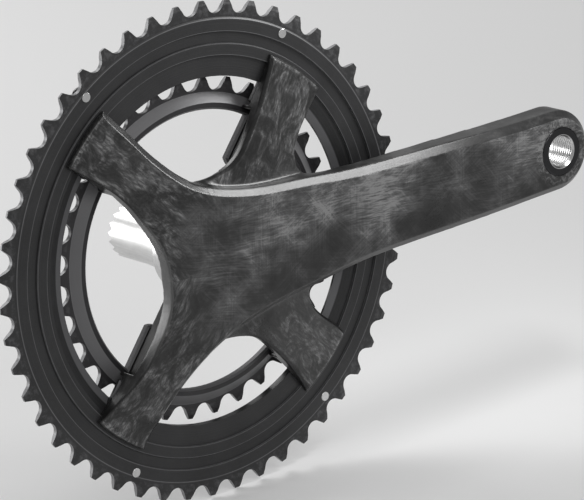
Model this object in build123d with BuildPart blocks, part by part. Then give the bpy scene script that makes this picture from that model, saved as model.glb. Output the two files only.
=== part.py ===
"""Drive-side half of a two-ring road crankset.

Row frame, millimetres: origin at the centre of the axle bearing, +Y along the axle towards the
middle of the bicycle (the outside of the crank faces -Y), +X along the crank arm, +Z up.
"""
import os
from math import cos, pi, radians, sin, sqrt

from build123d import *

# ---- chain and ring sizes -------------------------------------------------------------------
CHAIN_PITCH = 12.7
ROLLER_SEAT_R = 3.88
OUTER_TEETH = 50
INNER_TEETH = 34
OUTER_RING_Y = -9.0
INNER_RING_Y = -2.0
TOOTH_HALF_THICK = 0.95
TOOTH_TIP_HALF_THICK = 0.5
OUTER_TIP_R = 102.6
INNER_TIP_R = 70.8
OUTER_GULLET_PHASE = 1.035
INNER_GULLET_PHASE = 0.2

# ---- spider ---------------------------------------------------------------------------------
ARM_ANGLES = (50.0, 130.0, -130.0, -50.0)
ARM_END_R = 83.5
ARM_END_HALF_WIDTH = 15.0
REAR_TIP_OUTER_WIDTH = 13.4
OUTER_BOLT_R = 72.5
INNER_BOLT_R = 56.0
OUTER_TAB_FRONT_Y = -9.3
OUTER_TAB_REAR_Y = -6.2
INNER_TAB_FRONT_Y = -5.5
INNER_TAB_REAR_Y = -2.5
OUTER_SEAT_R = 61.4
RING_BAND_R = 80.3
RING_BAND_Y = -10.3
RING_GROOVE_Y = -9.3
TAB_HALF_WIDTH = 11.5
OUTER_RIM_R = 71.7
DISH_R = 78.2
DISH_Y = -7.2
INNER_RIM_R = 57.5
INNER_TAB_HALF_WIDTH = 8.1
INNER_TAB_END_R = 35.5
OUTER_WINDOW_BEVEL = 1.9
INNER_WINDOW_BEVEL = 0.8
FULL_CIRCLE = 200.0

# ---- crank arm ------------------------------------------------------------------------------
CRANK_LENGTH = 172.5
PEDAL_END_R = 17.3
HUB_FACE_Y = -28.0
PEDAL_FACE_Y = -34.0
BEAM_REAR_HUB_Y = -18.5
BEAM_REAR_PEDAL_Y = -20.0
HUB_REAR_Y = -5.0
BEAM_RELIEF_X = 37.5
EDGE_BEVEL = 3.3
FINE_BEVEL = 0.6
LOW_ARM_BEVEL = 1.4
ROOT_WIDTH = 14.0
HUB_WINDOW_X = 32.6

# ---- axle and bearing -----------------------------------------------------------------------
AXLE_SEAT_R = 12.5
AXLE_END_R = 11.5
AXLE_FRONT_Y = -22.0
SLEEVE_FRONT_Y = -24.0
CLIP_Y = 3.0
CLIP_THICK = 1.2
CLIP_GROOVE_R = 11.7
CLIP_R = 14.2
DUST_RING_WIRE_R = 0.75
HIRTH_TIP_Y = 42.0
HIRTH_ROOT_Y = 39.4
HIRTH_TEETH = 18
AXLE_BORE_R = 7.5
SLEEVE_R = 15.5
BEARING_OUTER_R = 18.5
BEARING_HALF_WIDTH = 3.0
BALL_R = 1.75
BALL_PITCH_R = 15.5
BALL_COUNT = 18
BALL_CLEARANCE = 0.02
INNER_RACE_R = 14.4
OUTER_RACE_R = 16.6
CAGE_INNER_R = 14.85
CAGE_OUTER_R = 16.15
CAGE_HALF_WIDTH = 1.95

# ---- pedal thread and fasteners -------------------------------------------------------------
PEDAL_MINOR_R = 6.5
PEDAL_MAJOR_R = 7.14
PEDAL_THREAD_PITCH = 1.27
PEDAL_BUSH_R = 8.9
PEDAL_FLANGE_R = 10.35
PEDAL_FLANGE_THICK = 1.6
BOLT_SHANK_R = 3.0
BOLT_HEAD_R = 4.8
BOLT_HEAD_THICK = 1.8
INSERT_R = 4.5
INSERT_DEPTH = {OUTER_BOLT_R: 3.2, INNER_BOLT_R: 7.5}
INSERT_FLOOR = 0.6
OUTER_HEAD_SINK = 1.5
SOCKET_R = 1.7
SOCKET_LOBE_R = 0.55
SOCKET_DEPTH = 1.3
RIVET_R = 93.3
RIVET_ANGLES = (58.3, 122.9, -121.2, -56.6)
RIVET_HEAD_R = 2.0
CATCH_PIN_R = 87.5
CATCH_PIN_NECK_R = 1.5
CATCH_PIN_HEAD_R = 2.3
CATCH_PIN_HEIGHT = 6.5

os.makedirs("parts", exist_ok=True)


def face_plane(y):
    """Plane square to the axle at height y, with sketch x = +X and sketch y = +Z.

    An extrude with a positive amount goes outwards, towards -Y.
    """
    return Plane.XZ.offset(-y)


def on_arm(angle, along, across=0.0):
    """Point (x, z) at a distance along a spider arm and a distance across it (left positive)."""
    a = radians(angle)
    return (along * cos(a) - across * sin(a), along * sin(a) + across * cos(a))


def flipped(points):
    """The same points below the X axis, in reverse order."""
    return [(x, -z) for x, z in reversed(points)]


def save(builder, name):
    builder.part.label = name
    export_step(builder.part, f"parts/{name}.step")


def tip_point(angle, across):
    """Point on the rim circle of a spider arm's end, at a distance across the arm."""
    return on_arm(angle, sqrt(ARM_END_R ** 2 - across ** 2), across)


def arm_end_arc(angle, right=ARM_END_HALF_WIDTH, left=ARM_END_HALF_WIDTH):
    """The end of a spider arm, from its right corner to its left one."""
    ThreePointArc(tip_point(angle, -right), on_arm(angle, ARM_END_R), tip_point(angle, left))


# ---- crank arm with its spider --------------------------------------------------------------
# The arm, hub and the two spider arms behind the hub share one continuous front face.
beam_edge = [
    (CRANK_LENGTH, PEDAL_END_R),
    (140.0, 17.8),
    (100.0, 18.8),
    (60.0, 20.6),
    (43.0, 22.8),
    (20.0, 25.4),
    (5.0, 28.4),
    on_arm(130.0, 31.0, -14.6),
    on_arm(130.0, 40.0, -11.4),
    on_arm(130.0, 50.0, -10.4),
    on_arm(130.0, 60.0, -10.9),
    on_arm(130.0, 68.0, -11.9),
    tip_point(130.0, -REAR_TIP_OUTER_WIDTH),
]
hub_window_half = [
    tip_point(130.0, ARM_END_HALF_WIDTH),
    on_arm(130.0, 72.0, 13.0),
    on_arm(130.0, 62.0, 11.8),
    on_arm(130.0, 54.0, 12.2),
    (-40.2, 26.0),
    (-34.4, 13.0),
]
hub_window = hub_window_half + [(-HUB_WINDOW_X, 0.0)] + flipped(hub_window_half)

# The two spider arms beside the crank arm sit lower than its face.
low_window_side = [
    tip_point(50.0, ARM_END_HALF_WIDTH),
    on_arm(50.0, 75.0, 13.4),
    on_arm(50.0, 66.0, 12.8),
    on_arm(50.0, 56.0, 13.0),
    on_arm(50.0, 47.0, 13.7),
    on_arm(50.0, 39.0, 14.8),
    (7.0, 36.0),
    (-3.0, 34.4),
    (-13.0, 34.4),
]
low_beam_side = [
    (60.0, 17.0),
    (53.0, 22.3),
    (45.6, 26.0),
    (43.4, 30.5),
    on_arm(50.0, 54.0, -12.8),
    on_arm(50.0, 62.0, -12.7),
    on_arm(50.0, 72.0, -14.3),
    tip_point(50.0, -ARM_END_HALF_WIDTH),
]

with BuildPart() as crank_arm:
    with BuildSketch(face_plane(INNER_TAB_FRONT_Y)):
        with BuildLine():
            Spline(*beam_edge, tangents=[(-1, 0), on_arm(130.0, 1.0, -0.28)])
            arm_end_arc(130.0, right=REAR_TIP_OUTER_WIDTH)
            Spline(*hub_window)
            arm_end_arc(-130.0, left=REAR_TIP_OUTER_WIDTH)
            Spline(*flipped(beam_edge), tangents=[on_arm(-130.0, -1.0, -0.28), (1, 0)])
            ThreePointArc(
                (CRANK_LENGTH, -PEDAL_END_R), (CRANK_LENGTH + PEDAL_END_R, 0), (CRANK_LENGTH, PEDAL_END_R)
            )
        make_face()
    extrude(amount=40)
    with BuildPart(mode=Mode.PRIVATE) as front_face:
        with BuildSketch(Plane.XY):
            with BuildLine():
                Polyline((0, 0), (0, HUB_FACE_Y), (22, HUB_FACE_Y))
                Spline(
                    (22, HUB_FACE_Y), (95, -30.3), (160, PEDAL_FACE_Y), tangents=[(1, 0), (1, 0)]
                )
                Polyline((160, PEDAL_FACE_Y), (195, PEDAL_FACE_Y), (195, 0), (0, 0))
            make_face()
        extrude(amount=50, both=True)
        with BuildSketch(Plane.XY):
            with BuildLine():
                Polyline((0, 0), (0, HUB_FACE_Y), (31, HUB_FACE_Y))
                Spline(
                    (31, HUB_FACE_Y), (45, -25.5), (60, -20.0), (72, -15.6), (90, -12.0),
                    tangents=[(1, 0), (1, 0.1)],
                )
                Polyline((90, -12), (90, 0), (0, 0))
            make_face()
        revolve(axis=Axis.Y)
    add(front_face.part, mode=Mode.INTERSECT)
    # A wide bevel from the rear arms' outer sides along the crank arm, a fine one elsewhere.
    rims = [
        e for e in crank_arm.edges()
        if e.center().Y < -11 and abs(e.tangent_at(0.5).Y) < 0.9
        and (e.geom_type == GeomType.BSPLINE or e.center().X > CRANK_LENGTH)
    ]
    chamfer([e for e in rims if e.center().X > -30], EDGE_BEVEL)
    fine_rims = [
        e for e in crank_arm.edges()
        if (e.length > 100 and abs(e.center().X + HUB_WINDOW_X) < 1)
        or (e.geom_type == GeomType.BSPLINE and e.center().X < -50 and e.center().Y < -11)
    ]
    chamfer(fine_rims, FINE_BEVEL)

    with BuildPart(mode=Mode.PRIVATE) as low_arms:
        with BuildSketch(face_plane(INNER_TAB_FRONT_Y)):
            with BuildLine():
                Spline(*low_window_side)
                Line(low_window_side[-1], flipped(low_window_side)[0])
                Spline(*flipped(low_window_side))
                arm_end_arc(-50.0)
                Spline(*flipped(low_beam_side))
                Line(flipped(low_beam_side)[-1], low_beam_side[0])
                Spline(*low_beam_side)
                arm_end_arc(50.0)
            make_face()
        extrude(amount=40)
        with BuildSketch(Plane.XY):
            with BuildLine():
                Polyline((0, 0), (0, -22.5), (26, -22.5))
                Spline(
                    (26, -22.5), (45, -20.2), (60, -16.9), (72, -14.2), (90, -12.0),
                    tangents=[(1, 0), (1, 0.12)],
                )
                Polyline((90, -12), (90, 0), (0, 0))
            make_face()
        revolve(axis=Axis.Y, mode=Mode.INTERSECT)
        low_edges = [
            e for e in low_arms.edges()
            if e.center().Y < -11 and abs(e.tangent_at(0.5).Y) < 0.9 and e.center().X > 5
        ]
        chamfer(low_edges, LOW_ARM_BEVEL)
    add(low_arms.part)
    # Rear relief: the hub is a cone between the arms' roots, the arms are shells beside them,
    # and the crank arm is a plain beam.
    for relief_profile, zone_angles in (
        (((33, -21.6), (45, -19.5), (60, -14.2)), (180.0,)),
        (((33, BEAM_REAR_HUB_Y), (45, -15.5), (60, -11.5)), (90.0, 0.0, -90.0)),
    ):
        with BuildPart(mode=Mode.PRIVATE) as relief:
            with BuildSketch(Plane.XY):
                with BuildLine():
                    Polyline(
                        (17.5, 1), (17.5, HUB_REAR_Y), *relief_profile, (60, 1), close=True
                    )
                make_face()
            revolve(axis=Axis.Y)
            with BuildSketch(face_plane(2)):
                for angle in zone_angles:
                    half_turn = 50.0 if angle in (0.0, 180.0) else 40.0
                    with BuildLine():
                        Polyline(
                            (0, 0), on_arm(angle - half_turn, 120.0), on_arm(angle, 120.0),
                            on_arm(angle + half_turn, 120.0), close=True
                        )
                    make_face()
                for angle in ARM_ANGLES:
                    with Locations(Location(on_arm(angle, 60.0), angle)):
                        Rectangle(120, ROOT_WIDTH, mode=Mode.SUBTRACT)
            extrude(amount=40, mode=Mode.INTERSECT)
        add(relief.part, mode=Mode.SUBTRACT)
    with BuildPart(mode=Mode.PRIVATE) as beam_relief:
        with BuildSketch(Plane.XY):
            with BuildLine():
                Line((BEAM_RELIEF_X, BEAM_REAR_HUB_Y), (75, BEAM_REAR_HUB_Y))
                Spline(
                    (75, BEAM_REAR_HUB_Y), (150, BEAM_REAR_PEDAL_Y), tangents=[(1, 0), (1, 0)]
                )
                Polyline(
                    (150, BEAM_REAR_PEDAL_Y), (195, BEAM_REAR_PEDAL_Y), (195, 1), (BEAM_RELIEF_X, 1),
                    (BEAM_RELIEF_X, BEAM_REAR_HUB_Y),
                )
            make_face()
        extrude(amount=30, both=True)
        with BuildSketch(face_plane(2)):
            with Locations((120, 0)):
                Rectangle(200, 60)
            for angle in (50.0, -50.0):
                with Locations(Location(on_arm(angle, 60.0), angle)):
                    Rectangle(120, 30, mode=Mode.SUBTRACT)
        extrude(amount=40, mode=Mode.INTERSECT)
    add(beam_relief.part, mode=Mode.SUBTRACT)

    # Seats for the outer ring's tabs, the axle sleeve, the pedal bush and the ring inserts.
    for seat_r, seat_y in ((OUTER_SEAT_R, OUTER_TAB_FRONT_Y), (RING_BAND_R - 0.2, RING_BAND_Y)):
        with BuildSketch(face_plane(1)):
            Circle(95)
            Circle(seat_r, mode=Mode.SUBTRACT)
        extrude(amount=1 - seat_y, mode=Mode.SUBTRACT)
    with BuildSketch(face_plane(1)):
        Circle(SLEEVE_R)
    extrude(amount=1 - SLEEVE_FRONT_Y, mode=Mode.SUBTRACT)
    with BuildSketch(face_plane(0)):
        with Locations((CRANK_LENGTH, 0)):
            Circle(PEDAL_BUSH_R)
    extrude(amount=50, mode=Mode.SUBTRACT)
    with BuildSketch(face_plane(PEDAL_FACE_Y + PEDAL_FLANGE_THICK)):
        with Locations((CRANK_LENGTH, 0)):
            Circle(PEDAL_FLANGE_R)
    extrude(amount=10, mode=Mode.SUBTRACT)
    for bolt_r, seat_y in ((OUTER_BOLT_R, OUTER_TAB_FRONT_Y), (INNER_BOLT_R, INNER_TAB_FRONT_Y)):
        with BuildSketch(face_plane(seat_y)):
            for angle in ARM_ANGLES:
                with Locations(on_arm(angle, bolt_r)):
                    Circle(INSERT_R)
        extrude(amount=INSERT_DEPTH[bolt_r], mode=Mode.SUBTRACT)
save(crank_arm, "crank_arm")


def turned(profile):
    """Turn a solid about the axle from its half section, given as (radius, y) points."""
    with BuildSketch(Plane.XY) as section:
        with BuildLine():
            Polyline(*profile, close=True)
        make_face()
    revolve(section.sketch, axis=Axis.Y)


# ---- chainrings -----------------------------------------------------------------------------
def cut_teeth(teeth, phase, tip_r, centre_y):
    """Cut the roller seats between the teeth out of the disc being built."""
    pitch_r = CHAIN_PITCH / (2 * sin(pi / teeth))
    reach = tip_r + 2
    seat_x = ROLLER_SEAT_R * sin(radians(60))
    seat_r = pitch_r - ROLLER_SEAT_R * cos(radians(60))
    mouth_x = seat_x + (reach - seat_r) / sqrt(3)
    with BuildSketch(face_plane(centre_y + 4)) as gullets:
        with PolarLocations(0, teeth, start_angle=phase):
            with BuildSketch(mode=Mode.PRIVATE) as gullet:
                with BuildLine():
                    ThreePointArc(
                        (seat_r, -seat_x), (pitch_r - ROLLER_SEAT_R, 0), (seat_r, seat_x)
                    )
                    Polyline(
                        (seat_r, seat_x), (reach, mouth_x), (reach, -mouth_x), (seat_r, -seat_x)
                    )
                make_face()
            add(gullet.sketch)
    extrude(gullets.sketch, amount=8, mode=Mode.SUBTRACT)


def window_sketch(rim_r, tab_half_width, tab_end_r, corner_r, tip_half_width, tip_corner_r):
    """Everything inside the rim but the four tabs, which flare into the rim and end at tab_end_r."""
    with BuildSketch(face_plane(10)) as windows:
        Circle(rim_r)
        for angle in ARM_ANGLES:
            with Locations(Location(on_arm(angle, rim_r), angle)):
                Rectangle(1.6 * rim_r, 2 * tab_half_width, mode=Mode.SUBTRACT)
        rim_corners = [
            v for v in windows.vertices() if abs(Vector(v.X, 0, v.Z).length - rim_r) < 0.01
        ]
        fillet(rim_corners, corner_r)
        with BuildSketch(mode=Mode.PRIVATE) as tips:
            Circle(tab_end_r + tip_corner_r)
            for angle in ARM_ANGLES:
                with Locations(Location(on_arm(angle, tab_end_r + 30), angle)):
                    RectangleRounded(60, 2 * tip_half_width, tip_corner_r, mode=Mode.SUBTRACT)
        add(tips.sketch)
    return windows.sketch


def bevel_window(ring, front_y, size):
    """Bevel the front edge of a ring's inner outline, all round its windows and tabs."""
    outline = [
        e for e in ring.edges()
        if abs(e.center().Y - front_y) < 0.01
        and Vector(e.center().X, 0, e.center().Z).length < OUTER_RIM_R
        and e.length < FULL_CIRCLE
    ]
    chamfer(outline, size)


with BuildPart() as outer_chainring:
    turned([
        (58, OUTER_TAB_FRONT_Y), (RING_BAND_R, OUTER_TAB_FRONT_Y), (RING_BAND_R, RING_BAND_Y),
        (84.8, RING_BAND_Y), (85.2, RING_GROOVE_Y), (89.9, RING_GROOVE_Y),
        (89.9, RING_BAND_Y), (94.9, RING_BAND_Y),
        (95.6, OUTER_RING_Y - TOOTH_HALF_THICK), (100.6, OUTER_RING_Y - TOOTH_HALF_THICK),
        (OUTER_TIP_R, OUTER_RING_Y - TOOTH_TIP_HALF_THICK),
        (OUTER_TIP_R, OUTER_RING_Y + TOOTH_TIP_HALF_THICK),
        (100.6, OUTER_RING_Y + TOOTH_HALF_THICK), (96.2, OUTER_RING_Y + TOOTH_HALF_THICK),
        (93.5, OUTER_TAB_REAR_Y), (58, OUTER_TAB_REAR_Y),
    ])
    cut_teeth(OUTER_TEETH, OUTER_GULLET_PHASE, OUTER_TIP_R, OUTER_RING_Y)
    windows = window_sketch(OUTER_RIM_R, TAB_HALF_WIDTH, OUTER_SEAT_R + 0.3, 11.0, 14.5, 6.0)
    extrude(windows, amount=30, mode=Mode.SUBTRACT)
    bevel_window(outer_chainring, OUTER_TAB_FRONT_Y, OUTER_WINDOW_BEVEL)
    # The rim is dished down to the two wide windows.
    with BuildPart(mode=Mode.PRIVATE) as dish:
        with BuildSketch(Plane.XY):
            with BuildLine():
                Polyline(
                    (60, DISH_Y), (OUTER_RIM_R, DISH_Y), (DISH_R, OUTER_TAB_FRONT_Y),
                    (DISH_R, -12), (60, -12), (60, DISH_Y),
                )
            make_face()
        revolve(axis=Axis.Y)
        with BuildSketch(face_plane(0)):
            for side in (1, -1):
                with BuildLine():
                    Polyline(
                        (0, 0), on_arm(50.0, 120.0 * side), (120.0 * side, 0),
                        on_arm(-50.0, 120.0 * side), close=True
                    )
                make_face()
            for angle in ARM_ANGLES:
                with Locations(Location(on_arm(angle, 60.0), angle)):
                    Rectangle(120, 2 * TAB_HALF_WIDTH + 3, mode=Mode.SUBTRACT)
        extrude(amount=20, mode=Mode.INTERSECT)
    add(dish.part, mode=Mode.SUBTRACT)
    with BuildSketch(face_plane(0)):
        for angle in ARM_ANGLES:
            with Locations(on_arm(angle, OUTER_BOLT_R)):
                Circle(BOLT_SHANK_R + 0.1)
        for angle in RIVET_ANGLES:
            with Locations(on_arm(angle, RIVET_R)):
                Circle(RIVET_HEAD_R)
        with Locations((CATCH_PIN_R, 0)):
            Circle(CATCH_PIN_NECK_R)
    extrude(amount=20, mode=Mode.SUBTRACT)
    with BuildSketch(face_plane(0)):
        for angle in ARM_ANGLES:
            with Locations(on_arm(angle, OUTER_BOLT_R)):
                Circle(BOLT_HEAD_R + 0.1)
    extrude(amount=-OUTER_TAB_REAR_Y + OUTER_HEAD_SINK, mode=Mode.SUBTRACT)
save(outer_chainring, "outer_chainring")

with BuildPart() as inner_chainring:
    turned([
        (30, INNER_TAB_FRONT_Y), (60.3, INNER_TAB_FRONT_Y),
        (64.2, INNER_RING_Y - TOOTH_HALF_THICK), (68.9, INNER_RING_Y - TOOTH_HALF_THICK),
        (INNER_TIP_R, INNER_RING_Y - TOOTH_TIP_HALF_THICK),
        (INNER_TIP_R, INNER_RING_Y + TOOTH_TIP_HALF_THICK),
        (68.9, INNER_RING_Y + TOOTH_HALF_THICK), (63.8, INNER_RING_Y + TOOTH_HALF_THICK),
        (62.2, INNER_TAB_REAR_Y), (30, INNER_TAB_REAR_Y),
    ])
    cut_teeth(INNER_TEETH, INNER_GULLET_PHASE, INNER_TIP_R, INNER_RING_Y)
    windows = window_sketch(INNER_RIM_R, INNER_TAB_HALF_WIDTH, INNER_TAB_END_R, 16.0, 10.4, 7.5)
    extrude(windows, amount=30, mode=Mode.SUBTRACT)
    bevel_window(inner_chainring, INNER_TAB_FRONT_Y, INNER_WINDOW_BEVEL)
    with BuildSketch(face_plane(1)):
        for angle in ARM_ANGLES:
            with Locations(on_arm(angle, INNER_BOLT_R)):
                Circle(BOLT_SHANK_R + 0.1)
    extrude(amount=10, mode=Mode.SUBTRACT)
save(inner_chainring, "inner_chainring")


# ---- ring fasteners -------------------------------------------------------------------------
def ring_bolts(bolt_r, head_face_y, shank_end_y):
    """Four bolts entering from behind, heads towards +Y."""
    shoulder_y = head_face_y - BOLT_HEAD_THICK
    for radius, start_y, end_y in (
        (BOLT_HEAD_R, head_face_y, shoulder_y), (BOLT_SHANK_R, shoulder_y, shank_end_y)
    ):
        with BuildSketch(face_plane(start_y)) as circles:
            for angle in ARM_ANGLES:
                with Locations(on_arm(angle, bolt_r)):
                    Circle(radius)
        extrude(circles.sketch, amount=start_y - end_y)


def cut_sockets(bolt_r, head_face_y):
    """Six-lobe driving sockets in the heads."""
    with BuildSketch(face_plane(head_face_y)) as sockets:
        for angle in ARM_ANGLES:
            with Locations(on_arm(angle, bolt_r)):
                Circle(SOCKET_R)
                with PolarLocations(SOCKET_R, 6):
                    Circle(SOCKET_LOBE_R)
    extrude(sockets.sketch, amount=SOCKET_DEPTH, mode=Mode.SUBTRACT)


for bolt_set, bolt_r, tab_rear_y, sink, seat_y in (
    ("outer", OUTER_BOLT_R, OUTER_TAB_REAR_Y, OUTER_HEAD_SINK, OUTER_TAB_FRONT_Y),
    ("inner", INNER_BOLT_R, INNER_TAB_REAR_Y, 0.0, INNER_TAB_FRONT_Y),
):
    head_face_y = tab_rear_y - sink + BOLT_HEAD_THICK
    insert_end_y = seat_y - INSERT_DEPTH[bolt_r]
    with BuildPart() as bolts:
        ring_bolts(bolt_r, head_face_y, insert_end_y + INSERT_FLOOR)
        chamfer(bolts.edges().filter_by(GeomType.CIRCLE).group_by(Axis.Y)[-1], 0.35)
        chamfer(bolts.edges().filter_by(GeomType.CIRCLE).group_by(Axis.Y)[0], 0.4)
        cut_sockets(bolt_r, head_face_y)
    save(bolts, f"{bolt_set}_ring_bolts")
    with BuildPart() as inserts:
        with BuildSketch(face_plane(seat_y)):
            for angle in ARM_ANGLES:
                with Locations(on_arm(angle, bolt_r)):
                    Circle(INSERT_R)
        extrude(amount=INSERT_DEPTH[bolt_r])
        with BuildSketch(face_plane(seat_y)):
            for angle in ARM_ANGLES:
                with Locations(on_arm(angle, bolt_r)):
                    Circle(BOLT_SHANK_R)
        extrude(amount=INSERT_DEPTH[bolt_r] - INSERT_FLOOR, mode=Mode.SUBTRACT)
    save(inserts, f"{bolt_set}_ring_inserts")

with BuildPart() as upshift_pins:
    with BuildSketch(face_plane(OUTER_TAB_REAR_Y)):
        for angle in RIVET_ANGLES:
            with Locations(on_arm(angle, RIVET_R)):
                Circle(RIVET_HEAD_R)
    extrude(amount=OUTER_TAB_REAR_Y - RING_BAND_Y + 0.35)
    fillet(upshift_pins.edges().group_by(Axis.Y)[0], 0.3)
    with BuildSketch(face_plane(OUTER_TAB_REAR_Y + 1.2)):
        for angle in RIVET_ANGLES:
            with Locations(on_arm(angle, RIVET_R)):
                Circle(RIVET_HEAD_R + 1.3)
    extrude(amount=1.2)
    chamfer(upshift_pins.edges().group_by(Axis.Y)[-1], 0.35)
save(upshift_pins, "upshift_pins")

with BuildPart() as chain_catch_pin:
    with BuildSketch(face_plane(OUTER_TAB_REAR_Y)):
        with Locations((CATCH_PIN_R, 0)):
            Circle(CATCH_PIN_NECK_R)
    extrude(amount=OUTER_TAB_REAR_Y - RING_GROOVE_Y)
    with BuildSketch(face_plane(RING_GROOVE_Y)):
        with Locations((CATCH_PIN_R, 0)):
            Circle(CATCH_PIN_HEAD_R)
    extrude(amount=CATCH_PIN_HEIGHT)
    chamfer(chain_catch_pin.edges().group_by(Axis.Y)[0], 0.5)
save(chain_catch_pin, "chain_catch_pin")


# ---- axle and sleeve ------------------------------------------------------------------------
with BuildPart() as axle_sleeve:
    turned([
        (0, SLEEVE_FRONT_Y), (SLEEVE_R - 0.6, SLEEVE_FRONT_Y), (SLEEVE_R, SLEEVE_FRONT_Y + 0.6),
        (SLEEVE_R, HUB_REAR_Y), (14.0, HUB_REAR_Y), (14.0, -BEARING_HALF_WIDTH),
        (AXLE_SEAT_R, -BEARING_HALF_WIDTH), (AXLE_SEAT_R, AXLE_FRONT_Y), (0, AXLE_FRONT_Y),
    ])
save(axle_sleeve, "axle_sleeve")

with BuildPart() as dust_ring:
    with BuildSketch(Plane.XY):
        with Locations((14.0 + DUST_RING_WIRE_R, HUB_REAR_Y + DUST_RING_WIRE_R)):
            Circle(DUST_RING_WIRE_R)
    revolve(axis=Axis.Y)
save(dust_ring, "dust_ring")

with BuildPart() as half_axle:
    turned([
        (AXLE_BORE_R, AXLE_FRONT_Y), (AXLE_SEAT_R, AXLE_FRONT_Y), (AXLE_SEAT_R, CLIP_Y),
        (CLIP_GROOVE_R, CLIP_Y), (CLIP_GROOVE_R, CLIP_Y + CLIP_THICK),
        (AXLE_SEAT_R, CLIP_Y + CLIP_THICK), (AXLE_SEAT_R, 10.0), (AXLE_END_R, 24.0),
        (AXLE_END_R, HIRTH_TIP_Y), (AXLE_BORE_R + 1.0, HIRTH_TIP_Y), (AXLE_BORE_R, HIRTH_TIP_Y - 1),
    ])
    # Face teeth: wedges narrowing towards the axis, cut into the inboard end.
    tooth_pitch = 360 / HIRTH_TEETH
    for i in range(HIRTH_TEETH):
        angle = i * tooth_pitch
        sections = []
        for r in (AXLE_BORE_R - 2.5, AXLE_END_R + 1.0):
            half = r * sin(radians(tooth_pitch / 2)) * 1.04
            depth = (HIRTH_TIP_Y - HIRTH_ROOT_Y) * r / AXLE_END_R
            flank = Plane(
                origin=(r * cos(radians(angle)), HIRTH_TIP_Y + 0.1, r * sin(radians(angle))),
                x_dir=(-sin(radians(angle)), 0, cos(radians(angle))),
                z_dir=(cos(radians(angle)), 0, sin(radians(angle))),
            )
            with BuildSketch(flank) as section:
                with BuildLine():
                    Polyline(
                        (-half, 0), (half, 0), (0.12 * half, depth), (-0.12 * half, depth), close=True
                    )
                make_face()
        loft(mode=Mode.SUBTRACT)
save(half_axle, "half_axle")

with BuildPart() as axle_clip:
    with BuildSketch(face_plane(CLIP_Y + CLIP_THICK)):
        Circle(CLIP_R)
        Circle(CLIP_GROOVE_R, mode=Mode.SUBTRACT)
        with Locations((0, CLIP_R)):
            Rectangle(7, 12, mode=Mode.SUBTRACT)
        with Locations((-4.6, CLIP_R - 0.6), (4.6, CLIP_R - 0.6)):
            Circle(1.9)
        Circle(CLIP_GROOVE_R, mode=Mode.SUBTRACT)
        with Locations((-4.6, CLIP_R - 0.4), (4.6, CLIP_R - 0.4)):
            Circle(0.7, mode=Mode.SUBTRACT)
    extrude(amount=CLIP_THICK)
save(axle_clip, "axle_clip")


# ---- bearing --------------------------------------------------------------------------------
def ball_centres():
    """Centres of the balls round the bearing's pitch circle."""
    turn = 2 * pi / BALL_COUNT
    return [
        (BALL_PITCH_R * cos(i * turn), 0, BALL_PITCH_R * sin(i * turn)) for i in range(BALL_COUNT)
    ]


def cut_race():
    """Cut the balls' groove, a little larger than the balls."""
    with BuildSketch(Plane.XY) as groove:
        with Locations((BALL_PITCH_R, 0)):
            Circle(BALL_R + BALL_CLEARANCE)
    revolve(groove.sketch, axis=Axis.Y, mode=Mode.SUBTRACT)


with BuildPart() as bearing_inner_race:
    turned([
        (AXLE_SEAT_R, -BEARING_HALF_WIDTH), (INNER_RACE_R, -BEARING_HALF_WIDTH),
        (INNER_RACE_R, BEARING_HALF_WIDTH), (AXLE_SEAT_R, BEARING_HALF_WIDTH),
    ])
    cut_race()
save(bearing_inner_race, "bearing_inner_race")

with BuildPart() as bearing_outer_race:
    turned([
        (OUTER_RACE_R, -BEARING_HALF_WIDTH), (BEARING_OUTER_R - 0.3, -BEARING_HALF_WIDTH),
        (BEARING_OUTER_R, -BEARING_HALF_WIDTH + 0.3), (BEARING_OUTER_R, BEARING_HALF_WIDTH - 0.3),
        (BEARING_OUTER_R - 0.3, BEARING_HALF_WIDTH), (OUTER_RACE_R, BEARING_HALF_WIDTH),
    ])
    cut_race()
save(bearing_outer_race, "bearing_outer_race")

with BuildPart() as bearing_balls:
    with Locations(*ball_centres()):
        Sphere(BALL_R)
save(bearing_balls, "bearing_balls")

with BuildPart() as bearing_cage:
    turned([
        (CAGE_INNER_R, -CAGE_HALF_WIDTH), (CAGE_OUTER_R, -CAGE_HALF_WIDTH),
        (CAGE_OUTER_R, CAGE_HALF_WIDTH), (CAGE_INNER_R, CAGE_HALF_WIDTH),
    ])
    # Radial pockets, one round each ball.
    for i in range(BALL_COUNT):
        turn = 2 * pi * i / BALL_COUNT
        outwards = Plane(origin=(0, 0, 0), x_dir=(0, 1, 0), z_dir=(cos(turn), 0, sin(turn)))
        with BuildSketch(outwards) as pocket:
            Circle(BALL_R)
        extrude(pocket.sketch, amount=CAGE_OUTER_R + 1, mode=Mode.SUBTRACT)
save(bearing_cage, "bearing_cage")

for side, seal_name in ((-1, "bearing_outboard_seal"), (1, "bearing_inboard_seal")):
    with BuildPart() as seal:
        turned([
            (14.8, side * 2.25), (OUTER_RACE_R, side * 2.25), (OUTER_RACE_R, side * 2.85),
            (14.8, side * 2.85),
        ])
    save(seal, seal_name)


# ---- pedal bush -----------------------------------------------------------------------------
bush_front_y = PEDAL_FACE_Y - 0.2
bush_rear_y = BEAM_REAR_PEDAL_Y
thread_turns = int((bush_rear_y - bush_front_y - 1.6) / PEDAL_THREAD_PITCH)
thread_start_y = bush_front_y + 1.0
thread_wall = [(PEDAL_MAJOR_R, bush_front_y), (PEDAL_MINOR_R, thread_start_y)]
for i in range(thread_turns):
    crest_y = thread_start_y + i * PEDAL_THREAD_PITCH
    thread_wall.append((PEDAL_MINOR_R, crest_y + 0.25))
    thread_wall.append((PEDAL_MAJOR_R, crest_y + 0.61))
    thread_wall.append((PEDAL_MAJOR_R, crest_y + 0.74))
    thread_wall.append((PEDAL_MINOR_R, crest_y + 1.10))
thread_wall += [(PEDAL_MINOR_R, bush_rear_y)]

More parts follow.
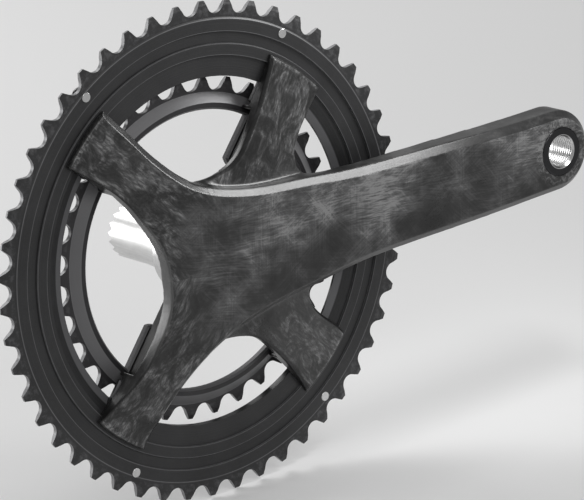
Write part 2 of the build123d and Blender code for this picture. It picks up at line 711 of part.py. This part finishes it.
with BuildPart() as pedal_bush:
    with BuildSketch(Plane.XY):
        with BuildLine():
            Polyline(
                *[(CRANK_LENGTH + r, y) for r, y in thread_wall],
                (CRANK_LENGTH + PEDAL_BUSH_R, bush_rear_y),
                (CRANK_LENGTH + PEDAL_BUSH_R, PEDAL_FACE_Y + PEDAL_FLANGE_THICK),
                (CRANK_LENGTH + PEDAL_FLANGE_R, PEDAL_FACE_Y + PEDAL_FLANGE_THICK),
                (CRANK_LENGTH + PEDAL_FLANGE_R, bush_front_y + 0.3),
                (CRANK_LENGTH + PEDAL_FLANGE_R - 0.3, bush_front_y),
                close=True,
            )
        make_face()
    revolve(axis=Axis((CRANK_LENGTH, 0, 0), (0, 1, 0)))
save(pedal_bush, "pedal_bush")
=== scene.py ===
"""Looks of the crankset: materials, reworked carbon arm, studio and camera, in the row frame."""
import math

import bmesh
import bpy
from mathutils import Matrix, Vector


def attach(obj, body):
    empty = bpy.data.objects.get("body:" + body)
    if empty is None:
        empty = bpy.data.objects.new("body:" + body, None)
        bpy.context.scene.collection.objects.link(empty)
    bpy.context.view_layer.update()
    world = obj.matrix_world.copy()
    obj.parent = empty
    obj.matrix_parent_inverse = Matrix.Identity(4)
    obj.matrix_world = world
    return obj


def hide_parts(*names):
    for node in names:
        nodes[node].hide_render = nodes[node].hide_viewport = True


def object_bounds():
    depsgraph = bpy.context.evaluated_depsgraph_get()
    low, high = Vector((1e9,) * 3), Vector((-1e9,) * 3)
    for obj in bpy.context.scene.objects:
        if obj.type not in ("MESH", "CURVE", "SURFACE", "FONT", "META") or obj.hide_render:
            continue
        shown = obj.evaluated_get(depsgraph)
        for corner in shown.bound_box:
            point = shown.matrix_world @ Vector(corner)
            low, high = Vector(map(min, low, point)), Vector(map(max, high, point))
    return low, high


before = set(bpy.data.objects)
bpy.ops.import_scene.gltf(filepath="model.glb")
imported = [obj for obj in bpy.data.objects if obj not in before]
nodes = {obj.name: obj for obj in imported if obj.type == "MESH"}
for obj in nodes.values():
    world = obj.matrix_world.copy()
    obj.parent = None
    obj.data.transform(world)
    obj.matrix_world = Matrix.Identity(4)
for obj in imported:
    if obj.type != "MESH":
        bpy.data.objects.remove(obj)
cad_low, cad_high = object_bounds()
MM = 0.001
PEDAL_X = 0.1725
ARM_ANGLE = 50.0

# Where each look of the carbon begins and ends, in metres, with the band of the painted tip
# highlight and the patch of the painted hub-wall reflection.
SPIDER_X = (-0.031, -0.014)
SPIDER_Z = (0.021, 0.033)
SPIDER_TIP_HIGHLIGHT_R = (0.0818, 0.0838)
BUSH_RIM_R = (0.0130, 0.0165)
HUB_REFLECTION_X = (-0.032, -0.028)
HUB_REFLECTION_Z = (0.018, 0.036)

# Fibre layers: direction in the side view, size of the patches, strength.
FIBRE_STRETCH = (110.0, 420.0, 1500.0)
FIBRE_LAYERS = (
    (-3.0, 34.0, 0.62),
    (-14.0, 48.0, 0.55),
    (28.0, 58.0, 0.42),
    (-52.0, 62.0, 0.40),
    (82.0, 70.0, 0.34),
)

# Carbon shell: voxel, triangle and smoothing limits, and the valley's extent in millimetres.
VOXEL_MM = 0.45
SHELL_TRIANGLES = 190000
WELD_DISTANCE = 1e-6
SMOOTH_FACTOR = 0.5
VALLEY_PASSES = 110
SKIN_PASSES = 2
VALLEY_X = (-16, 62)
VALLEY_Y = (-25.5, -11)
VALLEY_GAP = (-1.5, 7)
BEAM_SIDE_AT_AXLE = 28.9
BEAM_TAPER_AHEAD = 0.14
BEAM_TAPER_BEHIND = 0.45

# Studio and camera.
FLOOR_SIZE = 30.0
FLOOR_GAP = 0.0005
WORLD_STRENGTH = 0.42
CAMERA_LENS = 260.7
CAMERA_PLACE = (-0.965464, -1.314488, 0.520254)
CAMERA_RIGHT = (0.76691487, -0.63375658, -0.10096626)
CAMERA_UP = (0.27050975, 0.17657398, 0.94638581)
CAMERA_BACK = (-0.58195022, -0.75310971, 0.30685454)


# ---- small node-tree helper -------------------------------------------------------------------
class Tree:
    """Builds one material's node tree; every method returns an output socket."""

    def __init__(self, name):
        self.material = bpy.data.materials.new(name)
        self.material.use_nodes = True
        self.tree = self.material.node_tree
        self.shader = self.tree.nodes["Principled BSDF"]
        coordinates = self.node("ShaderNodeTexCoord")
        self.position = coordinates.outputs["Object"]

    def node(self, kind, **settings):
        made = self.tree.nodes.new(kind)
        for key, value in settings.items():
            setattr(made, key, value)
        return made

    def feed(self, socket, value):
        if isinstance(value, bpy.types.NodeSocket):
            self.tree.links.new(value, socket)
        else:
            socket.default_value = value

    def math(self, operation, a, b=0.0, c=0.0):
        made = self.node("ShaderNodeMath", operation=operation)
        self.feed(made.inputs[0], a)
        self.feed(made.inputs[1], b)
        self.feed(made.inputs[2], c)
        return made.outputs[0]

    def vector_math(self, operation, a, b=(0, 0, 0)):
        made = self.node("ShaderNodeVectorMath", operation=operation)
        self.feed(made.inputs[0], a)
        self.feed(made.inputs[1], b)
        return made.outputs[0]

    def scaled(self, vector, factors):
        return self.vector_math("MULTIPLY", vector, factors)

    def turned(self, vector, axis, angle):
        made = self.node("ShaderNodeVectorRotate", rotation_type="AXIS_ANGLE")
        self.feed(made.inputs["Vector"], vector)
        made.inputs["Axis"].default_value = axis
        self.feed(made.inputs["Angle"], angle)
        return made.outputs[0]

    def noise(self, vector, scale, detail=3.0, roughness=0.55, distortion=0.0):
        made = self.node("ShaderNodeTexNoise")
        self.feed(made.inputs["Vector"], vector)
        made.inputs["Scale"].default_value = scale
        made.inputs["Detail"].default_value = detail
        made.inputs["Roughness"].default_value = roughness
        made.inputs["Distortion"].default_value = distortion
        return made.outputs["Fac"]

    def noise_vector(self, vector, scale, amount):
        """The vector moved about by noise, up to about half the amount each way."""
        made = self.node("ShaderNodeTexNoise")
        self.feed(made.inputs["Vector"], vector)
        made.inputs["Scale"].default_value = scale
        made.inputs["Detail"].default_value = 3.0
        offset = self.vector_math("SUBTRACT", made.outputs["Color"], (0.5, 0.5, 0.5))
        return self.vector_math("ADD", vector, self.scaled(offset, (amount, amount, amount)))

    def ramp(self, value, stops):
        made = self.node("ShaderNodeValToRGB")
        elements = made.color_ramp.elements
        while len(elements) < len(stops):
            elements.new(0.5)
        for element, (place, level) in zip(elements, stops):
            element.position = place
            colour = level if isinstance(level, tuple) else (level, level, level)
            element.color = (*colour, 1.0)
        self.feed(made.inputs[0], value)
        return made.outputs[0]

    def mixed(self, factor, a, b):
        made = self.node("ShaderNodeMix", data_type="RGBA")
        self.feed(made.inputs[0], factor)
        for index, value in ((6, a), (7, b)):
            if isinstance(value, tuple):
                value = (*value, 1.0)
            self.feed(made.inputs[index], value)
        return made.outputs[2]

    def between(self, value, low, high):
        """The value mapped from 0..1 to low..high."""
        made = self.node("ShaderNodeMapRange")
        self.feed(made.inputs["Value"], value)
        made.inputs["To Min"].default_value = low
        made.inputs["To Max"].default_value = high
        return made.outputs[0]

    def between_two(self, factor, a, b):
        """The value a where the factor is 0 and b where it is 1."""
        made = self.node("ShaderNodeMix", data_type="FLOAT")
        self.feed(made.inputs[0], factor)
        self.feed(made.inputs[2], a)
        self.feed(made.inputs[3], b)
        return made.outputs[0]

    def step(self, value, start, end):
        """0 before start, 1 after end, smooth between."""
        made = self.node("ShaderNodeMapRange", interpolation_type="SMOOTHSTEP")
        self.feed(made.inputs["Value"], value)
        made.inputs["From Min"].default_value = start
        made.inputs["From Max"].default_value = end
        return made.outputs[0]

    def combined(self, x, y, z):
        made = self.node("ShaderNodeCombineXYZ")
        for socket, value in zip(made.inputs, (x, y, z)):
            self.feed(socket, value)
        return made.outputs[0]

    def coordinates(self, vector=None):
        made = self.node("ShaderNodeSeparateXYZ")
        self.feed(made.inputs[0], vector or self.position)
        return made.outputs[0], made.outputs[1], made.outputs[2]

    def radius(self, centre_x=0.0):
        """Distance from a line along Y."""
        x, _, z = self.coordinates()
        along = self.math("SUBTRACT", x, centre_x)
        squares = self.math("MULTIPLY", along, along), self.math("MULTIPLY", z, z)
        return self.math("SQRT", self.math("ADD", *squares))

    def pulse(self, value, start, end, soft):
        """1 between start and end, 0 outside, with soft edges."""
        rise = self.step(value, start - soft, start)
        fall = self.step(value, end, end + soft)
        return self.math("SUBTRACT", rise, fall)

    def facing(self):
        """How squarely the surface faces along the axle: 1 flat, 0 upright."""
        geometry = self.node("ShaderNodeNewGeometry")
        _, y, _ = self.coordinates(geometry.outputs["True Normal"])
        return self.math("ABSOLUTE", y)

    def turning_lines(self, radius, line_step):
        lines = self.node("ShaderNodeTexNoise", noise_dimensions="1D")
        self.feed(lines.inputs["W"], self.math("MULTIPLY", radius, 1.0 / line_step))
        lines.inputs["Scale"].default_value = 1.0
        lines.inputs["Detail"].default_value = 2.0
        return lines.outputs["Fac"]

    def turned_finish(self, colour, spread, roughness, grooves):
        """Colour, roughness and normal of a lathe-turned surface."""
        clouds = self.noise(self.position, 45.0, 4.0, 0.6)
        grain = self.noise(self.position, 1400.0, 2.0, 0.6)
        lines = self.math("MULTIPLY", grooves, 0.25)
        fine = self.math("ADD", lines, self.math("MULTIPLY", grain, 0.25))
        shade = self.math("ADD", self.math("MULTIPLY", clouds, 0.5), fine)
        low = tuple(c * (1 - spread) for c in colour)
        high = tuple(min(1.0, c * (1 + spread)) for c in colour)
        base = self.mixed(self.ramp(shade, ((0.35, 0.0), (0.65, 1.0))), low, high)
        rubbed = self.math("MULTIPLY", self.math("ADD", grain, grooves), 0.5)
        gloss = self.between(rubbed, roughness - 0.07, roughness + 0.07)
        deep, shallow = self.math("MULTIPLY", grooves, 0.8), self.math("MULTIPLY", grain, 0.3)
        return base, gloss, self.bump(self.math("ADD", deep, shallow), 0.22, 0.00025)

    def bump(self, height, strength, distance):
        made = self.node("ShaderNodeBump")
        self.feed(made.inputs["Height"], height)
        made.inputs["Strength"].default_value = strength
        made.inputs["Distance"].default_value = distance
        return made.outputs[0]

    def finish(self, colour, roughness, normal, metallic=0.0, specular=0.5):
        self.feed(self.shader.inputs["Base Color"], colour)
        self.feed(self.shader.inputs["Roughness"], roughness)
        self.feed(self.shader.inputs["Normal"], normal)
        self.shader.inputs["Metallic"].default_value = metallic
        self.shader.inputs["Specular IOR Level"].default_value = specular
        return self.material


def coat(piece, material):
    piece.data.materials.clear()
    piece.data.materials.append(material)


# ---- materials --------------------------------------------------------------------------------
def marbled_carbon():
    """Chopped carbon under satin lacquer: fine fibres in cloudy patches of a few directions."""
    t = Tree("marbled_carbon")
    drifting = t.noise_vector(t.position, 45.0, 0.0035)
    grain = t.noise(t.position, 900.0, 3.0, 0.65)
    broad = t.ramp(t.noise(t.position, 17.0, 3.0, 0.6), ((0.36, 0.0), (0.64, 1.0)))
    weight = t.math("MULTIPLY", grain, 0.10)
    for order, (direction, patch_scale, share) in enumerate(FIBRE_LAYERS):
        shifted = t.vector_math("ADD", drifting, (0.31 * order, 0.17 * order, 0.23 * order))
        laid = t.turned(shifted, (0, 1, 0), math.radians(direction))
        fibres = t.noise(t.scaled(laid, FIBRE_STRETCH), 1.0, 2.5, 0.62)
        patches = t.noise(t.scaled(laid, (0.55, 1.0, 1.3)), patch_scale, 3.0, 0.62)
        streak = t.ramp(fibres, ((0.36, 0.0), (0.72, 1.0)))
        mask = t.ramp(patches, ((0.42, 0.0), (0.66, 1.0)))
        layer = t.math("MULTIPLY", t.math("ADD", t.math("MULTIPLY", streak, 0.75), 0.25), mask)
        weight = t.math("ADD", weight, t.math("MULTIPLY", layer, share))
    # The weight rises towards the upper side of the arm, so the carbon is lighter higher up.
    x, y, z = t.coordinates(drifting)
    lighter_upwards = t.math("ADD", 0.40, t.math("MULTIPLY", z, 7.0))
    weight = t.math("MULTIPLY", weight, t.math("ADD", lighter_upwards, t.math("MULTIPLY", broad, 0.72)))
    # The spider arms show wisps drawn out along each arm; folding the quadrants together
    # gives all four the same direction, and the signs keep their patterns apart.
    behind = t.math("SUBTRACT", 1.0, t.step(x, *SPIDER_X))
    beside = t.step(t.math("ABSOLUTE", z), *SPIDER_Z)
    on_spider = t.math("MAXIMUM", behind, beside)
    signs = t.math("ADD", t.math("SIGN", x), t.math("MULTIPLY", t.math("SIGN", z), 2.2))
    folded = t.combined(t.math("ABSOLUTE", x), t.math("ADD", y, signs), t.math("ABSOLUTE", z))
    along_arm = t.turned(folded, (0, 1, 0), math.radians(ARM_ANGLE))
    wisps = t.noise(t.scaled(along_arm, (75.0, 110.0, 130.0)), 1.0, 7.0, 0.70, 1.1)
    wisps = t.ramp(wisps, ((0.36, 0.04), (0.47, 0.30), (0.58, 0.75), (0.68, 1.0)))
    threads = t.noise(t.scaled(along_arm, (210.0, 600.0, 1100.0)), 1.0, 4.0, 0.68)
    threads = t.ramp(threads, ((0.34, 0.30), (0.62, 1.0)))
    # Painted highlight: a lighter band along the edge of the spider arm tips, broken up by the
    # grain.
    rim = t.pulse(t.radius(), *SPIDER_TIP_HIGHLIGHT_R, 0.0012)
    rim = t.math("MULTIPLY", rim, t.ramp(grain, ((0.42, 0.0), (0.62, 0.4))))
    spider_weight = t.math("MULTIPLY", wisps, threads)
    spider_weight = t.math("ADD", spider_weight, t.math("MULTIPLY", grain, 0.10))
    spider_weight = t.math("MULTIPLY", t.math("ADD", spider_weight, rim), 1.05)
    weight = t.between_two(on_spider, weight, spider_weight)
    # The pressed rim round the pedal bush shows finer, lighter swirls.
    bush_distance = t.radius(PEDAL_X)
    near_bush = t.math("SUBTRACT", 1.0, t.step(bush_distance, *BUSH_RIM_R))
    swirl = t.ramp(t.noise(t.position, 330.0, 3.0, 0.6, 2.5), ((0.47, 0.0), (0.62, 1.0)))
    weight = t.math("ADD", weight, t.math("MULTIPLY", t.math("MULTIPLY", near_bush, swirl), 0.42))
    colour = t.ramp(weight, ((0.0, (0.007, 0.007, 0.007)), (0.30, (0.032, 0.032, 0.032)),
                             (0.62, (0.088, 0.088, 0.089)), (1.0, (0.22, 0.22, 0.22))))
    # Side walls and bevels are plain laminate with painted shade, darker than the faces; the wall
    # behind the hub carries a painted reflection in lighter grey.
    wall_shade = t.math("SUBTRACT", 1.0, t.step(t.facing(), 0.72, 0.86))
    hub_wall_reflection = t.math("MULTIPLY", t.math("SUBTRACT", 1.0, t.step(x, *HUB_REFLECTION_X)),
                      t.math("SUBTRACT", 1.0, t.step(t.math("ABSOLUTE", z), *HUB_REFLECTION_Z)))
    wall_shade_and_reflection_colour = t.mixed(hub_wall_reflection, (0.008, 0.008, 0.008), (0.11, 0.11, 0.11))
    colour = t.mixed(t.math("MULTIPLY", wall_shade, 0.8), colour, wall_shade_and_reflection_colour)
    rubbed = t.math("ADD", t.math("MULTIPLY", broad, 0.5), t.math("MULTIPLY", grain, 0.5))
    roughness = t.between(rubbed, 0.24, 0.36)
    height = t.math("ADD", t.math("MULTIPLY", grain, 0.5), weight)
    normal = t.bump(height, 0.10, 0.0003)
    return t.finish(colour, roughness, normal, specular=0.40)


def turned_alloy(name, colour, spread, roughness, line_step):
    """Bare alloy with fine turning lines round the axle."""
    t = Tree(name)
    radius = t.radius()
    grooves = t.turning_lines(radius, line_step)
    base, gloss, normal = t.turned_finish(colour, spread, roughness, grooves)
    return t.finish(base, gloss, normal, metallic=1.0)


def ring_alloy(name, colour, machined, edge_radii, tooth_root):
    """Black anodised ring: bare bevels inside it, painted highlights on the edges at its steps,
    worn tooth flanks.
    """
    t = Tree(name)
    radius = t.radius()
    grooves = t.turning_lines(radius, 0.00045)
    base, gloss, normal = t.turned_finish(colour, 0.30, 0.44, grooves)
    facing = t.facing()
    # Bevels and cones, neither flat nor upright, over the machined band of radii.
    not_flat = t.math("SUBTRACT", 1.0, t.step(facing, 0.965, 0.985))
    bevel = t.math("MULTIPLY", t.step(facing, 0.30, 0.50), not_flat)
    inner_r, outer_r, machined_colour = machined
    bevel = t.math("MULTIPLY", bevel, t.pulse(radius, inner_r, outer_r, 0.0006))
    base = t.mixed(bevel, base, machined_colour)
    # This noise breaks up both the real wear on the teeth and the painted edge highlights.
    wear_and_highlight_noise = t.noise(t.position, 300.0, 4.0, 0.7)
    # Painted highlights: thin lighter lines along the edges at the steps.
    for edge_r in edge_radii:
        line = t.pulse(radius, edge_r - 0.00012, edge_r + 0.00012, 0.00015)
        edge_highlight = t.math("MULTIPLY", line, t.between(wear_and_highlight_noise, 0.35, 1.0))
        base = t.mixed(edge_highlight, base, (0.16, 0.16, 0.165))
    upright = t.math("SUBTRACT", 1.0, t.step(facing, 0.25, 0.55))
    on_teeth = t.step(radius, tooth_root, tooth_root + 0.001)
    base = t.mixed(t.math("MULTIPLY", upright, on_teeth), base, (0.20, 0.20, 0.205))
    worn = t.math("MULTIPLY", on_teeth, t.ramp(wear_and_highlight_noise, ((0.48, 0.0), (0.70, 1.0))))
    base = t.mixed(t.math("MULTIPLY", worn, 0.6), base, (0.13, 0.13, 0.135))
    return t.finish(base, gloss, normal, metallic=0.25)


def bush_metal():
    """Bright cut thread inside a dark flange."""
    t = Tree("bush_metal")
    radius = t.radius(PEDAL_X)
    grooves = t.turning_lines(radius, 0.0003)
    base, gloss, normal = t.turned_finish((0.62, 0.62, 0.62), 0.12, 0.24, grooves)
    flange = t.step(radius, 0.0072, 0.0075)
    base = t.mixed(flange, base, (0.045, 0.045, 0.047))
    return t.finish(base, gloss, normal, metallic=1.0)


def steel(name, colour, roughness, grain_stretch=(900.0, 60.0, 900.0), dark_from=None):
    """Steel with fine brushing and small scratches, darkened inboard of dark_from."""
    t = Tree(name)
    brushed = t.noise(t.scaled(t.position, grain_stretch), 1.0, 3.0, 0.6)
    clouds = t.noise(t.position, 70.0, 3.0, 0.6)
    scratches = t.noise(t.scaled(t.position, (300.0, 2500.0, 300.0)), 1.0, 2.0, 0.5)
    shade = t.math("ADD", t.math("MULTIPLY", brushed, 0.5), t.math("MULTIPLY", clouds, 0.5))
    low = tuple(c * 0.86 for c in colour)
    high = tuple(min(1.0, c * 1.08) for c in colour)
    base = t.mixed(t.ramp(shade, ((0.35, 0.0), (0.65, 1.0))), low, high)
    if dark_from is not None:
        _, y, _ = t.coordinates()
        base = t.mixed(t.step(y, dark_from, dark_from + 0.0005), base, (0.03, 0.03, 0.03))
    rubbed = t.math("ADD", t.math("MULTIPLY", scratches, 0.4), t.math("MULTIPLY", clouds, 0.6))
    gloss = t.between(rubbed, roughness - 0.08, roughness + 0.08)
    height = t.math("ADD", t.math("MULTIPLY", brushed, 0.6), t.math("MULTIPLY", scratches, 0.4))
    normal = t.bump(height, 0.12, 0.0002)
    return t.finish(base, gloss, normal, metallic=1.0)


def moulded(name, colour, roughness):
    """Rubber or plastic with a fine moulded grain and a cloudy tone."""
    t = Tree(name)
    grain = t.noise(t.position, 1800.0, 3.0, 0.6)
    clouds = t.noise(t.position, 120.0, 4.0, 0.6)
    low = tuple(c * 0.75 for c in colour)
    high = tuple(min(1.0, c * 1.35) for c in colour)
    base = t.mixed(t.ramp(clouds, ((0.35, 0.0), (0.7, 1.0))), low, high)
    gloss = t.between(grain, roughness - 0.08, roughness + 0.08)
    normal = t.bump(t.math("ADD", grain, t.math("MULTIPLY", clouds, 0.4)), 0.25, 0.0002)
    return t.finish(base, gloss, normal)


carbon = marbled_carbon()
ring_black = ring_alloy(
    "ring_black", (0.026, 0.026, 0.027), (0.060, 0.0745, (0.13, 0.13, 0.135)),
    (0.0803, 0.0848, 0.0899, 0.0949), 0.0955,
)
inner_black = ring_alloy(
    "inner_black", (0.030, 0.029, 0.031), (0.034, 0.0643, (0.135, 0.134, 0.138)),
    (0.0603, 0.0642), 0.0655,
)
finishes = {
    "outer_chainring": ring_black,
    "inner_chainring": inner_black,
    "upshift_pins": steel("pin_steel", (0.62, 0.62, 0.62), 0.26, (800.0,) * 3, -0.009),
    "chain_catch_pin": steel("catch_pin_steel", (0.50, 0.50, 0.50), 0.32, (800.0, 800.0, 800.0)),
    "half_axle": steel("axle_steel", (0.66, 0.66, 0.655), 0.36),
    "axle_sleeve": turned_alloy("bare_alloy", (0.55, 0.55, 0.56), 0.12, 0.34, 0.0004),
    "axle_clip": steel("spring_steel", (0.20, 0.20, 0.21), 0.36, (700.0, 700.0, 700.0)),
    "pedal_bush": bush_metal(),
    "outer_ring_bolts": steel("bolt_steel", (0.12, 0.12, 0.12), 0.34, (900.0, 900.0, 900.0)),
    "inner_ring_bolts": steel("inner_bolt_steel", (0.12, 0.12, 0.12), 0.34, (900.0, 900.0, 900.0)),
    "outer_ring_inserts": turned_alloy("insert_alloy", (0.45, 0.45, 0.46), 0.15, 0.38, 0.0004),
    "inner_ring_inserts": turned_alloy(
        "inner_insert_alloy", (0.45, 0.45, 0.46), 0.15, 0.38, 0.0004,
    ),
    "bearing_outer_race": steel("bearing_steel", (0.60, 0.60, 0.60), 0.20, (500.0, 1500.0, 500.0)),
    "bearing_inner_race": steel(
        "inner_race_steel", (0.60, 0.60, 0.60), 0.20, (500.0, 1500.0, 500.0),
    ),
    "bearing_balls": steel("ball_steel", (0.75, 0.75, 0.75), 0.10, (400.0, 400.0, 400.0)),
    "bearing_cage": moulded("cage_plastic", (0.05, 0.05, 0.05), 0.50),
    "bearing_outboard_seal": moulded("seal_rubber", (0.020, 0.020, 0.021), 0.62),
    "bearing_inboard_seal": moulded("inboard_seal_rubber", (0.020, 0.020, 0.021), 0.62),
    "dust_ring": moulded("dust_ring_rubber", (0.018, 0.018, 0.018), 0.55),
    "crank_arm": carbon,
}
for name, material in finishes.items():
    coat(nodes[name], material)


# ---- carbon arm: the CAD solid remeshed, with its hard corners eased ----------------------------
def apply_modifiers(piece):
    """Work the piece's modifiers into its mesh."""
    graph = bpy.context.evaluated_depsgraph_get()
    mesh = bpy.data.meshes.new_from_object(piece.evaluated_get(graph))
    piece.modifiers.clear()
    piece.data = mesh


def eased_arm():
    """Put a remeshed, smoothed shell in place of the CAD arm."""
    mesh = nodes["crank_arm"].data.copy()
    piece = bpy.data.objects.new("crank_arm_shell", mesh)
    bpy.context.scene.collection.objects.link(piece)
    form = bmesh.new()
    form.from_mesh(mesh)
    bmesh.ops.remove_doubles(form, verts=form.verts, dist=WELD_DISTANCE)
    form.to_mesh(mesh)
    form.free()
    remesh = piece.modifiers.new("remesh", "REMESH")
    remesh.mode = "VOXEL"
    remesh.voxel_size = VOXEL_MM * MM
    remesh.use_smooth_shade = True
    apply_modifiers(piece)
    # The valleys where the low spider arms leave the crank arm's sides are blended widest.
    blend = piece.vertex_groups.new(name="valley")
    light = piece.vertex_groups.new(name="skin")
    for v in piece.data.vertices:
        x, y, z = (c / MM for c in v.co)
        light.add([v.index], 1.0, "REPLACE")
        side = BEAM_SIDE_AT_AXLE - (BEAM_TAPER_AHEAD if x > 0 else BEAM_TAPER_BEHIND) * x
        gap = abs(z) - side
        beside_beam = VALLEY_GAP[0] < gap < VALLEY_GAP[1]
        if VALLEY_X[0] < x < VALLEY_X[1] and beside_beam and VALLEY_Y[0] < y < VALLEY_Y[1]:
            fade_out = (VALLEY_GAP[1] - gap) / 3
            fade_front = (y - VALLEY_Y[0]) / 2
            fade_ahead = (VALLEY_X[1] - x) / 8
            blend.add([v.index], min(1.0, fade_out, fade_front, fade_ahead), "REPLACE")
    for group, passes in (("valley", VALLEY_PASSES), ("skin", SKIN_PASSES)):
        smooth = piece.modifiers.new(group, "SMOOTH")
        smooth.factor = SMOOTH_FACTOR
        smooth.iterations = passes
        smooth.vertex_group = group
    apply_modifiers(piece)
    thin = piece.modifiers.new("thin", "DECIMATE")
    thin.ratio = min(1.0, SHELL_TRIANGLES / (2 * len(piece.data.polygons)))
    apply_modifiers(piece)
    piece.data.shade_smooth()
    coat(piece, carbon)
    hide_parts("crank_arm")
    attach(piece, "crank")


eased_arm()


# ---- studio -------------------------------------------------------------------------------------
def plain_material(name, level):
    material = bpy.data.materials.new(name)
    material.use_nodes = True
    shader = material.node_tree.nodes["Principled BSDF"]
    shader.inputs["Base Color"].default_value = (level, level, level, 1.0)
    shader.inputs["Roughness"].default_value = 0.9
    return material


floor_z = cad_low.z - FLOOR_GAP
floor_mesh = bpy.data.meshes.new("floor")
half = FLOOR_SIZE / 2
floor_mesh.from_pydata(
    [(x, y, floor_z) for x, y in ((-half, -half), (half, -half), (half, half), (-half, half))],
    [], [(0, 1, 2, 3)],
)
floor = bpy.data.objects.new("floor", floor_mesh)
bpy.context.scene.collection.objects.link(floor)
coat(floor, plain_material("pale_floor", 0.80))

world = bpy.data.worlds.new("pale")
world.use_nodes = True
world.node_tree.nodes["Background"].inputs["Color"].default_value = (0.95, 0.95, 0.95, 1.0)
world.node_tree.nodes["Background"].inputs["Strength"].default_value = WORLD_STRENGTH
bpy.context.scene.world = world


def soft_light(name, place, target, size, power):
    light = bpy.data.lights.new(name, "AREA")
    light.shape = "RECTANGLE"
    light.size, light.size_y = size
    light.energy = power
    lamp = bpy.data.objects.new(name, light)
    bpy.context.scene.collection.objects.link(lamp)
    lamp.location = place
    lamp.visible_camera = False
    lamp.rotation_euler = (Vector(target) - Vector(place)).to_track_quat("-Z", "Y").to_euler()


soft_light("top", (0.165, -0.072, 0.145), (0.03, -0.02, 0.02), (0.08, 0.05), 0.26)
soft_light("rear_left", (-0.85, 1.05, 0.20), (0, 0, 0), (0.8, 0.5), 8.0)
soft_light("front", (-0.1, -1.9, 1.2), (0.05, 0, 0), (1.2, 1.0), 9.0)
soft_light("rear", (0.05, 1.3, 1.1), (0, 0, 0), (1.0, 0.6), 10.0)

# ---- camera -----------------------------------------------------------------------------------
camera_data = bpy.data.cameras.new("camera")
camera_data.sensor_width = 36.0
camera_data.lens = CAMERA_LENS
camera_data.clip_start = 0.05
camera_data.clip_end = 60.0
camera = bpy.data.objects.new("camera", camera_data)
bpy.context.scene.collection.objects.link(camera)
camera.matrix_world = Matrix.Translation(CAMERA_PLACE) @ Matrix(
    (CAMERA_RIGHT, CAMERA_UP, CAMERA_BACK)
).transposed().to_4x4()
bpy.context.scene.camera = camera
bpy.context.scene.view_settings.view_transform = "Standard"
